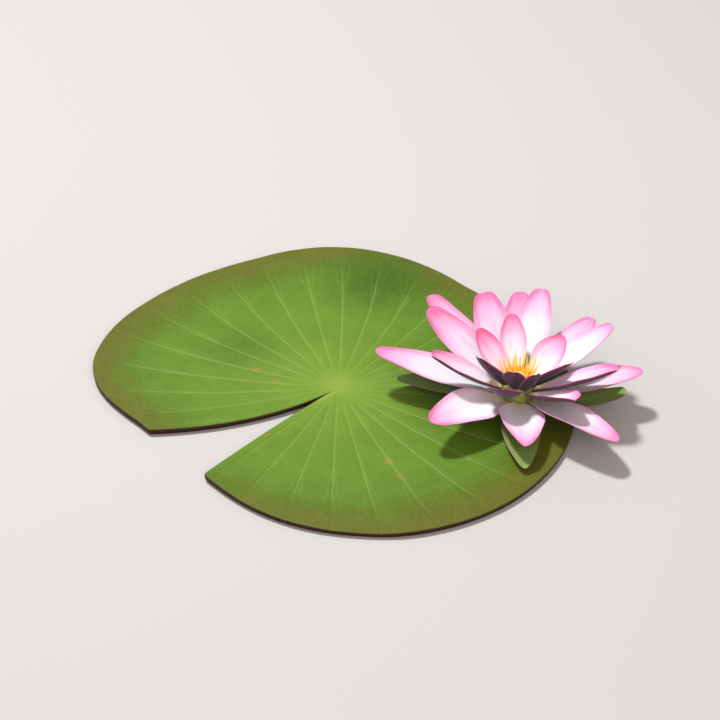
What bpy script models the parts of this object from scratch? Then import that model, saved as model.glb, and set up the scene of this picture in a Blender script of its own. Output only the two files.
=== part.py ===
"""A water lily flower lying on its floating leaf, near the leaf's right edge.

Metres, +Z up. The origin is the point where the veins of the leaf meet, taken on the flat underside.
The leaf's notch opens towards -X and -Y, and the front of the flower faces -Y.
"""

import math

import bpy
import numpy as np

MM = 0.001

# Leaf. The outline is (direction in degrees, radius in mm) about the vein centre, anticlockwise
# from the pointed right-hand corner of the notch to its left-hand corner.
LEAF_OUTLINE = [
    (228, 83.9), (233, 85.2), (240, 87.6), (249, 91.2), (262, 96.1), (274, 100.0), (285, 103.7),
    (296, 105.8), (308, 107.2), (325, 107.6), (341, 107.0), (360, 105.3), (378, 103.2), (396, 102.0),
    (414, 103.2), (422, 107.1), (430, 111.6), (437, 115.3), (444, 118.2), (452, 119.8), (460, 119.5),
    (472, 117.0), (485, 115.8), (500, 115.4), (511, 115.8), (522, 115.0), (529, 113.6), (536, 109.7),
    (543, 103.4), (550, 96.0), (556, 90.5), (561, 87.4),
]
# The notch runs in from the rim to this share of the leaf's radius. Both its sides start there in
# one direction and part towards the corners, the right one quickly and the left one evenly.
NOTCH_END = 0.03
NOTCH_DIRECTION = 221.0
NOTCH_RIGHT = (228.0, 0.4)
NOTCH_LEFT = (561.0, 0.9)
LEAF_THICK = 3.0
LEAF_WAVE = 0.4
LEAF_RINGS = (NOTCH_END, 0.06, 0.12, 0.25, 0.45, 0.65, 0.83, 0.95, 1.0)
LEAF_COLUMNS = 80
# Rows of the leaf's side wall: how far it is drawn in, in mm, and the share of the height there.
LEAF_WALL = ((0.0, 0.72), (0.25, 0.3), (0.9, 0.0))

# Flower: its axis is upright above this point of the leaf.
FLOWER_X = 79.2
FLOWER_Y = -10.6
# The flower base that all the petals grow from: (radius, height) in mm from the bottom up.
RECEPTACLE = (
    (5.4, 3.45), (6.8, 3.9), (7.5, 4.8), (7.6, 6.2), (7.2, 8.2), (6.7, 10.2), (6.3, 12.0),
    (5.7, 13.6), (5.3, 15.2), (4.9, 15.9), (4.2, 16.2),
)
RECEPTACLE_SIDES = 32

# Each whorl: where the midribs start (radius, height), how far they bend upwards from base to tip
# in degrees, the greatest width and where it lies along the petal, the width at the base and at
# the blunt tip, the cupping in degrees at base and tip, the thickness, and the grid of the mesh.
WHORLS = {
    "sepal": dict(start=(8.0, 5.9), bend=-4, width=17.5, at=0.42, base=8.0, tip=4.5, taper=1.5,
                  cup=(50, 30), roll=0, thick=1.1, grid=(9, 7)),
    "outer_petal": dict(start=(7.6, 8.0), bend=6, width=22.5, at=0.45, base=4.7, tip=7.0, taper=1.5,
                        cup=(64, 40), roll=-8, thick=1.0, grid=(11, 7)),
    "middle_petal": dict(start=(6.9, 11.4), bend=16, width=19.0, at=0.52, base=3.9, tip=7.0,
                         taper=1.8, cup=(80, 50), roll=-10, thick=0.9, grid=(11, 7)),
    "inner_petal": dict(start=(6.0, 14.6), bend=18, width=12.5, at=0.53, base=3.4, tip=4.0,
                        taper=1.9, cup=(90, 60), roll=-10, thick=0.8, grid=(9, 7)),
}
# Tip of each petal: direction in degrees, reach from the flower's axis and height in mm, then
# whatever differs from its whorl. "roll" turns the blade about its midrib.
TIPS = {
    "sepal": [
        (346.5, 47.4, 16.5, {"tip": 8.0, "roll": 2, "width": 14.0, "bend": 26}),
        (88, 50.0, 9.0, {}), (168, 54.0, 8.5, {"tip": 6.0}), (270, 51.5, 6.2, {"tip": 3.5}),
    ],
    "outer_petal": [
        (1, 54.8, 19.0, {"width": 23.0, "at": 0.52}), (48, 54.0, 21.0, {"width": 20.0}),
        (86, 56.0, 25.0, {"width": 18.6}), (129, 60.0, 29.0, {"width": 18.8, "roll": 5, "tip": 8.0}),
        (169, 63.7, 22.5, {"width": 22.5, "at": 0.48, "roll": 3}),
        (221.5, 52.4, 18.0, {"bend": -8}),
        (270, 46.9, 14.5, {"bend": -6, "at": 0.4, "width": 21.0, "tip": 4.5}),
        (311, 59.0, 15.0, {"bend": -10, "roll": -14}),
    ],
    "middle_petal": [
        (341, 43.5, 30.5, {"width": 20.0, "at": 0.62, "tip": 8.0, "cup": (88, 75), "roll": -13}),
        (23, 46.0, 32.0, {}), (74, 47.0, 33.5, {"width": 18.0}),
        (108, 45.0, 33.0, {"width": 17.0, "at": 0.58, "tip": 8.0, "roll": -15}),
        (143, 48.5, 33.5, {"width": 17.0, "roll": -12}),
        (186, 38.5, 31.0, {"width": 18.0, "at": 0.6, "cup": (95, 80), "roll": 6}),
        (247, 28.5, 29.0, {"width": 17.0, "tip": 5.0, "roll": 8}),
        (306, 37.0, 26.0, {"width": 18.6, "at": 0.64, "tip": 7.5, "cup": (92, 85), "roll": -12}),
    ],
    "inner_petal": [
        (337, 23.0, 30.0, {"width": 13.0, "roll": -24}),
        (24, 22.0, 32.0, {"width": 16.5, "roll": 14}), (95, 24.5, 33.8, {}), (141, 22.7, 32.5, {}),
        (200, 19.5, 31.8, {"start": (6.4, 14.3), "width": 15.5, "at": 0.42, "base": 4.0, "roll": 20}),
        (256, 16.4, 30.5, {"width": 11.2, "roll": 3}),
        (290, 17.2, 29.4, {"start": (6.4, 13.3), "width": 9.0, "roll": 3}),
    ],
}

# Stamens: flat straps standing on one ring. Ring radius and height, number, length, width and the
# angle above the horizontal at which they rise.
STAMEN_RINGS = {
    "outer_stamens": dict(radius=5.2, height=16.05, count=15, length=11.0, width=1.1, rise=52),
    "inner_stamens": dict(radius=3.7, height=16.6, count=9, length=9.5, width=0.9, rise=68),
}
STAMEN_BAND = 2.4
STAMEN_THICK = 0.7
STIGMA = ((1.6, 16.5), (2.5, 16.8), (2.8, 17.5), (2.5, 18.2), (1.7, 17.9), (0.8, 17.8))

COLOURS = {
    "leaf": (0.19, 0.32, 0.05),
    "sepal": (0.13, 0.27, 0.06),
    "outer_petal": (0.95, 0.55, 0.72),
    "middle_petal": (0.95, 0.47, 0.68),
    "inner_petal": (0.93, 0.40, 0.62),
    "receptacle": (0.30, 0.42, 0.12),
    "stamen": (0.95, 0.52, 0.05),
    "stigma": (0.95, 0.66, 0.10),
}


def clear_scene():
    for obj in list(bpy.data.objects):
        bpy.data.objects.remove(obj, do_unlink=True)


def material(name, colour, roughness):
    made = bpy.data.materials.new(name)
    made.use_nodes = True
    shader = made.node_tree.nodes["Principled BSDF"]
    shader.inputs["Base Color"].default_value = (*colour, 1.0)
    shader.inputs["Roughness"].default_value = roughness
    made.diffuse_color = (*colour, 1.0)
    return made


def add_object(name, points, faces, kind, roughness=0.5):
    mesh = bpy.data.meshes.new(name)
    mesh.from_pydata((np.asarray(points) * MM).tolist(), [], faces)
    mesh.shade_smooth()
    mesh.set_sharp_from_angle(angle=math.radians(50))
    mesh.materials.append(material(name, COLOURS[kind], roughness))
    obj = bpy.data.objects.new(name, mesh)
    bpy.context.scene.collection.objects.link(obj)


def smooth_curve(where, xs, ys):
    """A smooth curve through the points (xs, ys), read at the places in where."""
    xs = np.asarray(xs, float)
    ys = np.asarray(ys, float)
    slope = np.gradient(ys, xs)
    i = np.clip(np.searchsorted(xs, where) - 1, 0, len(xs) - 2)
    step = xs[i + 1] - xs[i]
    t = (where - xs[i]) / step
    return (
        (2 * t**3 - 3 * t**2 + 1) * ys[i]
        + (t**3 - 2 * t**2 + t) * step * slope[i]
        + (3 * t**2 - 2 * t**3) * ys[i + 1]
        + (t**3 - t**2) * step * slope[i + 1]
    )


def thicken(upper, lower, faces):
    """Closes a sheet into a solid: its faces above, the same faces below, and a wall round the edge."""
    count = len(upper)
    solid = [list(face) for face in faces]
    solid += [[i + count for i in reversed(face)] for face in faces]
    edges = {(a, b) for face in faces for a, b in zip(face, face[1:] + face[:1])}
    solid += [[b, a, a + count, b + count] for a, b in sorted(edges) if (b, a) not in edges]
    return np.concatenate([upper, lower]), solid


def grid_faces(rows, columns):
    return [
        [i * columns + j, (i + 1) * columns + j, (i + 1) * columns + j + 1, i * columns + j + 1]
        for i in range(rows - 1)
        for j in range(columns - 1)
    ]


def lathe(profile, sides, centre):
    """A closed solid of revolution about an upright axis, from (radius, height) rows going up."""
    around = np.linspace(0, 2 * np.pi, sides, endpoint=False)
    points = [
        (centre[0] + r * math.cos(a), centre[1] + r * math.sin(a), z) for r, z in profile for a in around
    ]
    faces = [
        [i * sides + j, i * sides + (j + 1) % sides, (i + 1) * sides + (j + 1) % sides, (i + 1) * sides + j]
        for i in range(len(profile) - 1)
        for j in range(sides)
    ]
    faces.append(list(reversed(range(sides))))
    faces.append([(len(profile) - 1) * sides + j for j in range(sides)])
    return np.array(points), faces


def leaf_top(ring, across):
    """Points of the leaf's upper face: ring is 0 at the vein centre and 1 at the rim, and across
    runs from 0 on the right side of the notch round to 1 on its left side."""
    angles, radii = np.array(LEAF_OUTLINE, float).T
    out = (ring - NOTCH_END) / (1 - NOTCH_END)
    right = NOTCH_DIRECTION + (NOTCH_RIGHT[0] - NOTCH_DIRECTION) * out ** NOTCH_RIGHT[1]
    left = NOTCH_DIRECTION + 360 + (NOTCH_LEFT[0] - NOTCH_DIRECTION - 360) * out ** NOTCH_LEFT[1]
    direction = np.radians(right + (left - right) * across)
    rim = NOTCH_RIGHT[0] + (NOTCH_LEFT[0] - NOTCH_RIGHT[0]) * across
    radius = ring * smooth_curve(rim, angles, radii)
    if ring == NOTCH_END:
        radius = radius[0] + 0 * across
    height = LEAF_THICK + LEAF_WAVE * ring**2 * np.cos(2 * direction - math.radians(40))
    return np.stack([radius * np.cos(direction), radius * np.sin(direction), height], -1)


def leaf_grid():
    """The leaf's upper face as points and faces, and its edge as one loop of point numbers. Point 0
    is the vein centre, and the first ring round it is closed where the notch ends."""
    columns = LEAF_COLUMNS
    across = np.linspace(0, 1, columns + 1)
    points = [[0.0, 0.0, LEAF_THICK]]
    points += leaf_top(LEAF_RINGS[0], across)[:-1].tolist()
    rows = [[1 + j % columns for j in range(columns + 1)]]
    for ring in LEAF_RINGS[1:]:
        rows.append([len(points) + j for j in range(columns + 1)])
        points += leaf_top(ring, across).tolist()
    faces = [[0, rows[0][j], rows[0][j + 1]] for j in range(columns)]
    faces += [
        [inner[j], outer[j], outer[j + 1], inner[j + 1]]
        for inner, outer in zip(rows, rows[1:])
        for j in range(columns)
    ]
    edge = [row[0] for row in rows[:-1]] + rows[-1] + [row[-1] for row in rows[-2:0:-1]]
    return np.array(points), faces, edge


def build_leaf():
    points, faces, above = leaf_grid()
    top = points[above]
    ahead = np.roll(top, -1, 0) - np.roll(top, 1, 0)
    inward = np.stack([-ahead[:, 1], ahead[:, 0]], -1)
    inward /= np.linalg.norm(inward, axis=1)[:, None]
    # Near the narrow end of the notch the wall goes straight down.
    inward *= np.clip(np.linalg.norm(top[:, :2], axis=1) / 20 - 0.2, 0, 1)[:, None]
    size = len(above)
    for inset, share in LEAF_WALL:
        below = [len(points) + j for j in range(size)]
        row = np.column_stack([top[:, :2] + inward * inset, top[:, 2] * share])
        points = np.concatenate([points, row])
        faces += [[above[j], below[j], below[(j + 1) % size], above[(j + 1) % size]] for j in range(size)]
        above = below
    faces += [[len(points), above[(j + 1) % size], above[j]] for j in range(size)]
    points = np.concatenate([points, [[0.0, 0.0, 0.0]]])
    add_object("lily_pad", points, faces, "leaf", 0.45)


def build_receptacle():
    points, faces = lathe(RECEPTACLE, RECEPTACLE_SIDES, (FLOWER_X, FLOWER_Y))
    add_object("receptacle", points, faces, "receptacle", 0.6)


def petal_sheet(tip, whorl):
    """Upper and lower points of a petal. Its midrib is an arc from the whorl's start to the tip."""
    direction = math.radians(tip[0])
    start_r, start_z = whorl["start"]
    rows, columns = whorl["grid"]
    t = np.linspace(0, 1, rows)[:, None]
    u = t * (1.6 - 0.6 * t)
    v = np.linspace(-1, 1, columns)[None, :]

    bend = math.radians(whorl["bend"])
    slope = math.atan2(tip[2] - start_z, tip[1] - start_r) - bend / 2 + bend * u
    length = math.hypot(tip[2] - start_z, tip[1] - start_r) * (bend / 2) / math.sin(bend / 2)
    mid_r = start_r + length / bend * (np.sin(slope) - np.sin(slope[0]))
    mid_z = start_z + length / bend * (np.cos(slope[0]) - np.cos(slope))

    widest = whorl["width"] / 2
    base = whorl["base"] / 2
    blunt = whorl["tip"] / 2
    grow = base + (widest - base) * np.sin(np.clip(u / whorl["at"], 0, 1) * np.pi / 2) ** 1.1
    past = np.clip((u - whorl["at"]) / (1 - whorl["at"]), 0, 1)
    shrink = (blunt + (widest - blunt) * (1 - past ** whorl["taper"])) * np.sqrt(1 - 0.75 * past**18)
    half = np.where(u < whorl["at"], grow, shrink)

    cup = np.radians(whorl["cup"][0] + (whorl["cup"][1] - whorl["cup"][0]) * u) / 2
    roll = math.radians(whorl["roll"])
    turn = cup * v + roll
    side = half * (np.sin(turn) - math.sin(roll)) / cup
    up = half * (math.cos(roll) - np.cos(turn)) / cup
    thick = whorl["thick"] * (1 - 0.45 * v**2) * (1 - 0.35 * u**3)

    sheets = []
    for depth in (0 * thick, thick):
        across = side + depth * np.sin(turn)
        rise = up - depth * np.cos(turn)
        radius = mid_r - np.sin(slope) * rise
        height = mid_z + np.cos(slope) * rise
        x = FLOWER_X + radius * math.cos(direction) - across * math.sin(direction)
        y = FLOWER_Y + radius * math.sin(direction) + across * math.cos(direction)
        sheets.append(np.stack([x, y, height], -1).reshape(-1, 3))
    return sheets


def build_petals():
    for kind, tips in TIPS.items():
        for number, tip in enumerate(tips, 1):
            whorl = {**WHORLS[kind], **tip[3]}
            upper, lower = petal_sheet(tip, whorl)
            points, faces = thicken(upper, lower, grid_faces(*whorl["grid"]))
            add_object(f"{kind}_{number}", points, faces, kind)


def stamen_sheet(ring):
    """The ring as a low upright band, with a tapering strap rising from it at every other column."""
    count = ring["count"]
    around = np.linspace(0, 2 * np.pi, 2 * count, endpoint=False)
    half = ring["width"] / 2 / ring["radius"]
    around += np.where(np.arange(2 * count) % 2 == 0, -half, half - np.pi / count)
    rise = math.radians(ring["rise"])
    points = []
    for level in (0.0, STAMEN_BAND):
        radius = ring["radius"] + level * math.cos(rise)
        points += [(radius * math.cos(a), radius * math.sin(a), level * math.sin(rise)) for a in around]
    faces = [
        [j, (j + 1) % (2 * count), 2 * count + (j + 1) % (2 * count), 2 * count + j]
        for j in range(2 * count)
    ]
    for j in range(count):
        middle = (around[2 * j] + around[2 * j + 1]) / 2
        out = np.array([math.cos(middle), math.sin(middle), 0.0])
        side = np.array([-math.sin(middle), math.cos(middle), 0.0])
        edge = [2 * count + 2 * j, 2 * count + 2 * j + 1]
        for share, width in ((0.4, 1.0), (0.75, 0.8), (1.0, 0.35)):
            along = STAMEN_BAND + (ring["length"] - STAMEN_BAND) * share
            lean = rise + 0.25 * share
            place = out * (ring["radius"] + along * math.cos(lean)) + [0, 0, along * math.sin(lean)]
            pair = [len(points), len(points) + 1]
            points += [tuple(place - side * width * ring["width"] / 2)]
            points += [tuple(place + side * width * ring["width"] / 2)]
            faces.append([edge[0], edge[1], pair[1], pair[0]])
            edge = pair
    points = np.array(points)
    flat = np.hypot(points[:, 0], points[:, 1])[:, None]
    normals = points * [1, 1, 0] / flat * math.sin(rise)
    normals[:, 2] = -math.cos(rise)
    return points, normals, faces


def build_stamens():
    for name, ring in STAMEN_RINGS.items():
        points, normals, faces = stamen_sheet(ring)
        points = points + [FLOWER_X, FLOWER_Y, ring["height"]]
        solid, faces = thicken(points, points - normals * STAMEN_THICK, faces)
        add_object(name, solid, faces, "stamen", 0.45)


def build_stigma():
    points, faces = lathe(STIGMA, 24, (FLOWER_X, FLOWER_Y))
    add_object("stigma_disc", points, faces, "stigma", 0.5)


clear_scene()
build_leaf()
build_receptacle()
build_petals()
build_stamens()
build_stigma()
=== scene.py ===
"""A water lily flower on its floating leaf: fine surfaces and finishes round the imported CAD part.

Metres, +Z up, in the CAD part's own frame: the leaf's veins meet above the origin, its underside is
the plane z = 0, and the flower stands near the leaf's +X rim. Shapes are worked out in millimetres.
"""

import math

import bpy
import numpy as np
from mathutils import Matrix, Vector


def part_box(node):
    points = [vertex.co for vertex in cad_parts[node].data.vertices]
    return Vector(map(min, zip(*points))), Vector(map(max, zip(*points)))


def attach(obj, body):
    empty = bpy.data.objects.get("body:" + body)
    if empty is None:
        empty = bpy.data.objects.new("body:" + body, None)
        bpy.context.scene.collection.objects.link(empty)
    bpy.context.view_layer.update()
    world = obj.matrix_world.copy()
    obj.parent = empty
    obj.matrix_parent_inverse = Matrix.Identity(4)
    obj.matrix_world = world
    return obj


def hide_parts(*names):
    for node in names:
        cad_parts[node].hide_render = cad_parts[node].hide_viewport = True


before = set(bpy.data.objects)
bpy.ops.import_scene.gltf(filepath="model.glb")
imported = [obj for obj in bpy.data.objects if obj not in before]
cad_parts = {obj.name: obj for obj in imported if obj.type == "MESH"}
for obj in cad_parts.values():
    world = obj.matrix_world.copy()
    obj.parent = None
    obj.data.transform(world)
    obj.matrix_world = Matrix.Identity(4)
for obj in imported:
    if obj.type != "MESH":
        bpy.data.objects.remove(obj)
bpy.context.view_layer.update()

MM = 0.001
SHARP_ANGLE = 60


def box_mm(node):
    """Lowest and highest corner of a CAD node in millimetres."""
    low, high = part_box(node)
    return np.array(low) / MM, np.array(high) / MM


base_low, base_high = box_mm("receptacle")
FLOWER_X, FLOWER_Y = (base_low + base_high)[:2] / 2

# ---------------------------------------------------------------- shapes of the plant, in mm
# Leaf rim: (direction in degrees, radius) about the vein centre, from the notch's right-hand corner
# anticlockwise to its left-hand corner.
LEAF_RIM = [
    (228, 83.9), (233, 85.2), (240, 87.6), (249, 91.2), (262, 96.1), (274, 100.0), (285, 103.7),
    (296, 105.8), (308, 107.2), (325, 107.6), (341, 107.0), (360, 105.3), (378, 103.2), (396, 102.0),
    (414, 103.2), (422, 107.1), (430, 111.6), (437, 115.3), (444, 118.2), (452, 119.8), (460, 119.5),
    (472, 117.0), (485, 115.8), (500, 115.4), (511, 115.8), (522, 115.0), (529, 113.6), (536, 109.7),
    (543, 103.4), (550, 96.0), (556, 90.5), (561, 87.4),
]
# The notch runs in to this share of the radius. Its sides start there in one direction and part
# towards the corners: each has its corner's direction in degrees and the power that it goes by.
NOTCH_END = 0.03
NOTCH_DIRECTION = 221.0
NOTCH_RIGHT = (228.0, 0.4)
NOTCH_LEFT = (561.0, 0.9)
# The blade's height in the middle, and how far its rim waves up and down.
LEAF_THICK = 3.0
LEAF_WAVE = 0.4
# Main veins: direction of the first one and the angle between two, and how far each one has swung
# round by the time it reaches the rim, as (direction, swing) in degrees.
VEIN_FIRST = 232.4
VEIN_STEP = 12.0
VEIN_COUNT = 29
VEIN_SWING = [
    (230, -1.6), (244, -1.2), (256, 0.2), (268, 0.5), (280, 0.1), (292, 1.0), (304, 2.3), (318, 2.2),
    (370, 3.2), (425, 3.9), (437, 3.1), (449, 1.3), (461, -1.0), (473, -2.7), (486, -3.7), (498, -4.0),
    (521, -3.7), (545, -3.7), (570, -3.2),
]

# Petals: each whorl's start (radius, height), bend in degrees, greatest width and its place, width
# at base and tip, how the width falls off, cupping at base and tip in degrees, thickness.
WHORLS = {
    "sepal": dict(start=(8.0, 5.9), bend=-4, width=17.5, at=0.42, base=8.0, tip=4.5, taper=1.5,
                  cup=(50, 30), roll=0, thick=1.1),
    "outer_petal": dict(start=(7.6, 8.0), bend=6, width=22.5, at=0.45, base=4.7, tip=7.0, taper=1.5,
                        cup=(64, 40), roll=-8, thick=1.0),
    "middle_petal": dict(start=(6.9, 11.4), bend=16, width=19.0, at=0.52, base=3.9, tip=7.0,
                         taper=1.8, cup=(80, 50), roll=-10, thick=0.9),
    "inner_petal": dict(start=(6.0, 14.6), bend=18, width=12.5, at=0.53, base=3.4, tip=4.0,
                        taper=1.9, cup=(90, 60), roll=-10, thick=0.8),
}
# Tip of each petal: direction in degrees, reach from the flower's axis, height, and what differs,
# where blush is how much pinker, or if negative paler, than the others the petal is.
TIPS = {
    "sepal": [
        (346.5, 47.4, 16.5, {"tip": 8.0, "roll": 2, "width": 14.0, "bend": 26}),
        (88, 50.0, 9.0, {}), (168, 54.0, 8.5, {"tip": 6.0}), (270, 51.5, 6.2, {"tip": 3.5}),
    ],
    "outer_petal": [
        (1, 54.8, 19.0, {"width": 23.0, "at": 0.52}), (48, 54.0, 21.0, {"width": 20.0}),
        (86, 56.0, 25.0, {"width": 18.6, "blush": 0.15}),
        (129, 60.0, 29.0, {"width": 18.8, "roll": 5, "tip": 8.0}),
        (169, 63.7, 22.5, {"width": 22.5, "at": 0.48, "roll": 3}),
        (221.5, 52.4, 18.0, {"bend": -8}),
        (270, 46.9, 14.5, {"bend": -6, "at": 0.4, "width": 21.0, "tip": 4.5}),
        (311, 59.0, 15.0, {"bend": -10, "roll": -14}),
    ],
    "middle_petal": [
        (341, 43.5, 30.5, {"width": 20.0, "at": 0.62, "tip": 8.0, "cup": (88, 75), "roll": -13,
                           "blush": 0.08}),
        (23, 46.0, 32.0, {"blush": -0.12}), (74, 47.0, 33.5, {"width": 18.0, "blush": -0.05}),
        (108, 45.0, 33.0, {"width": 17.0, "at": 0.58, "tip": 8.0, "roll": -15, "blush": 0.07}),
        (143, 48.5, 33.5, {"width": 17.0, "roll": -12, "blush": 0.12}),
        (186, 38.5, 31.0, {"width": 18.0, "at": 0.6, "cup": (95, 80), "roll": 6, "blush": 0.04}),
        (247, 28.5, 29.0, {"width": 17.0, "tip": 5.0, "roll": 8}),
        (306, 37.0, 26.0, {"width": 18.6, "at": 0.64, "tip": 7.5, "cup": (92, 85), "roll": -12}),
    ],
    "inner_petal": [
        (337, 23.0, 30.0, {"width": 13.0, "roll": -24}),
        (24, 22.0, 32.0, {"width": 16.5, "roll": 14}), (95, 24.5, 33.8, {}),
        (141, 22.7, 32.5, {"blush": 0.15}),
        (200, 19.5, 31.8, {"start": (6.4, 14.3), "width": 15.5, "at": 0.42, "base": 4.0, "roll": 20}),
        (256, 16.4, 30.5, {"width": 11.2, "roll": 3}),
        (290, 17.2, 29.4, {"start": (6.4, 13.3), "width": 9.0, "roll": 3}),
    ],
}
# The flower base from the bottom up: (radius, height).
RECEPTACLE = [
    (5.4, 3.45), (6.8, 3.9), (7.5, 4.8), (7.6, 6.2), (7.2, 8.2), (6.7, 10.2), (6.3, 12.0),
    (5.7, 13.6), (5.3, 15.2), (4.9, 15.9), (4.2, 16.2),
]
# Each ring of stamens: the radius and height of its foot, how many straps it has, how long and wide
# they are, and how steeply they rise in degrees. Then the band's height and the straps' thickness.
STAMENS = {
    "outer_stamens": dict(radius=5.2, height=16.05, count=15, length=11.0, width=1.1, rise=52),
    "inner_stamens": dict(radius=3.7, height=16.6, count=9, length=9.5, width=0.9, rise=68),
}
STAMEN_BAND = 2.4
STAMEN_THICK = 0.7
# The stigma disc's radius, and the heights of its underside and of its top.
STIGMA_RADIUS = 2.8
STIGMA_HEIGHTS = (16.5, 18.2)


# ---------------------------------------------------------------- mesh helpers
def smooth_curve(where, points):
    """Cubic Hermite curve through (x, y) points, its slopes the central differences, read at where."""
    xs, ys = np.array(points, float).T
    slope = np.gradient(ys, xs)
    i = np.clip(np.searchsorted(xs, where) - 1, 0, len(xs) - 2)
    step = xs[i + 1] - xs[i]
    t = (where - xs[i]) / step
    return (
        (2 * t**3 - 3 * t**2 + 1) * ys[i] + (t**3 - 2 * t**2 + t) * step * slope[i]
        + (3 * t**2 - 2 * t**3) * ys[i + 1] + (t**3 - t**2) * step * slope[i + 1]
    )


def smooth_step(low, high, x):
    """0 below low, 1 above high, and 3t^2 - 2t^3 between them."""
    t = np.clip((x - low) / (high - low), 0, 1)
    return t * t * (3 - 2 * t)


def tube_faces(first, rows, around):
    """Quads between each two of the closed rings that follow one another from point number first."""
    i = np.arange(rows - 1)[:, None] * around
    k = np.arange(around)[None, :]
    after = (k + 1) % around
    quads = np.stack([i + k, i + around + k, i + around + after, i + after], -1)
    return (quads + first).reshape(-1, 4)


def fan_faces(pole, ring, turned=False):
    """Triangles from a pole to each edge of a closed ring of point numbers."""
    after = np.roll(ring, -1)
    pair = (after, ring) if turned else (ring, after)
    return np.stack([np.full(len(ring), pole), *pair], -1)


def add_piece(name, points, faces, finish, nodes, uv=None, marks=None):
    """One closed mesh from whole arrays: points in mm, faces as arrays of quads or of triangles, uv
    and each mark one value per point. It rides on the root body and stands for the CAD nodes."""
    mesh = bpy.data.meshes.new(name)
    mesh.from_pydata((points * MM).tolist(), [], [f for block in faces for f in block.tolist()])
    corners = np.empty(len(mesh.loops), np.int32)
    mesh.loops.foreach_get("vertex_index", corners)
    if uv is not None:
        layer = mesh.uv_layers.new(name="along_across")
        layer.uv.foreach_set("vector", uv[corners].astype(np.float32).ravel())
    for mark, values in (marks or {}).items():
        made = mesh.attributes.new(mark, "FLOAT", "POINT")
        made.data.foreach_set("value", np.broadcast_to(values, len(points)).astype(np.float32))
    mesh.shade_smooth()
    mesh.set_sharp_from_angle(angle=math.radians(SHARP_ANGLE))
    mesh.materials.append(finish)
    piece = bpy.data.objects.new(name, mesh)
    bpy.context.scene.collection.objects.link(piece)
    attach(piece, "root")
    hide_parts(*nodes)


# ---------------------------------------------------------------- material helpers
def colour(code):
    """An sRGB hex value as linear RGBA."""
    srgb = np.array([int(code[i:i + 2], 16) for i in (1, 3, 5)]) / 255
    linear = np.where(srgb <= 0.04045, srgb / 12.92, ((srgb + 0.055) / 1.055) ** 2.4)
    return (*linear.tolist(), 1.0)


def add(tree, kind, links=(), stops=(), out=0, **settings):
    """Adds a node and returns one of its outputs: settings are its properties, links its inputs in
    order or by socket, each a socket, a value or a hex colour, and stops the (place, hex colour or
    number) steps of a colour ramp."""
    made = tree.nodes.new("ShaderNode" + kind)
    for name, value in settings.items():
        setattr(made, name, value)
    for socket, value in links.items() if isinstance(links, dict) else enumerate(links):
        if isinstance(value, bpy.types.NodeSocket):
            tree.links.new(value, made.inputs[socket])
        else:
            made.inputs[socket].default_value = colour(value) if isinstance(value, str) else value
    for number, (place, value) in enumerate(stops):
        steps = made.color_ramp.elements
        step = steps[number] if number < 2 else steps.new(place)
        step.position = place
        step.color = colour(value) if isinstance(value, str) else (value, value, value, 1)
    return made.outputs[out]


def start_material(name, **sockets):
    """A material with one Principled shader whose given sockets are set."""
    made = bpy.data.materials.new(name)
    made.use_nodes = True
    shader = made.node_tree.nodes["Principled BSDF"]
    for socket, value in sockets.items():
        shader.inputs[socket.replace("_", " ").title().replace("Ior", "IOR")].default_value = value
    return made, made.node_tree, shader


# ---------------------------------------------------------------- leaf
# The grid has this many columns from one vein to the next, and rows from vein centre to rim.
LEAF_SECTOR = 16
LEAF_ROWS = 60
# In mm: how far the rounded wall stands out from the upper face, how deep and wide the groove over a
# vein is, how far the blade swells between two veins, and how far the underside is hollowed there.
LEAF_EDGE = 1.0
VEIN_DEPTH = 0.2
VEIN_WIDTH = 0.8
BLADE_SWELL = 0.13
UNDERSIDE_HOLLOW = 0.4
# The wall from the top down: how far it stands out from the upper face's edge in mm, its share of the
# height, and how much it has of the upper face's colour.
LEAF_SIDE = [
    (0.5, 0.995, 1), (0.8, 0.97, 0.9), (0.95, 0.91, 0.5), (1.0, 0.8, 0.1), (0.95, 0.6, 0),
    (0.78, 0.35, 0), (0.5, 0.15, 0), (0.2, 0.03, 0),
]
# Radius of the rim at the notch in mm, near enough to turn the wall's width into degrees.
NOTCH_RIM = 90
# By the time the veins reach the rim the smooth step of their swing is at 0.917, so it is made whole.
SWING_WHOLE = 1.09


def wall_share(radius):
    """How much of its width the notch's wall has at a radius in mm: none at the narrow inner end."""
    return np.clip(radius / 20 - 0.2, 0, 1)


def leaf_directions(ring):
    """Directions in degrees of the notch's right side, each main vein and the notch's left side, one
    row per ring: the sides leave the notch's end together, and the veins swing as they go out."""
    out = (ring - NOTCH_END) / (1 - NOTCH_END)
    radius = ring * NOTCH_RIM
    inset = np.degrees(LEAF_EDGE * wall_share(radius) / radius)
    right = NOTCH_DIRECTION + (NOTCH_RIGHT[0] - NOTCH_DIRECTION) * out ** NOTCH_RIGHT[1] + inset
    left = NOTCH_DIRECTION + 360 + (NOTCH_LEFT[0] - NOTCH_DIRECTION - 360) * out ** NOTCH_LEFT[1] - inset
    veins = VEIN_FIRST + VEIN_STEP * np.arange(VEIN_COUNT)
    swung = smooth_step(0.3, 1.15, ring) * SWING_WHOLE
    swing = smooth_curve(veins, VEIN_SWING)[None, :] * swung[:, None]
    veins = np.minimum(veins[None, :] + swing, left[:, None] - 1.3)
    return np.concatenate([right[:, None], veins, left[:, None]], 1)


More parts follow.
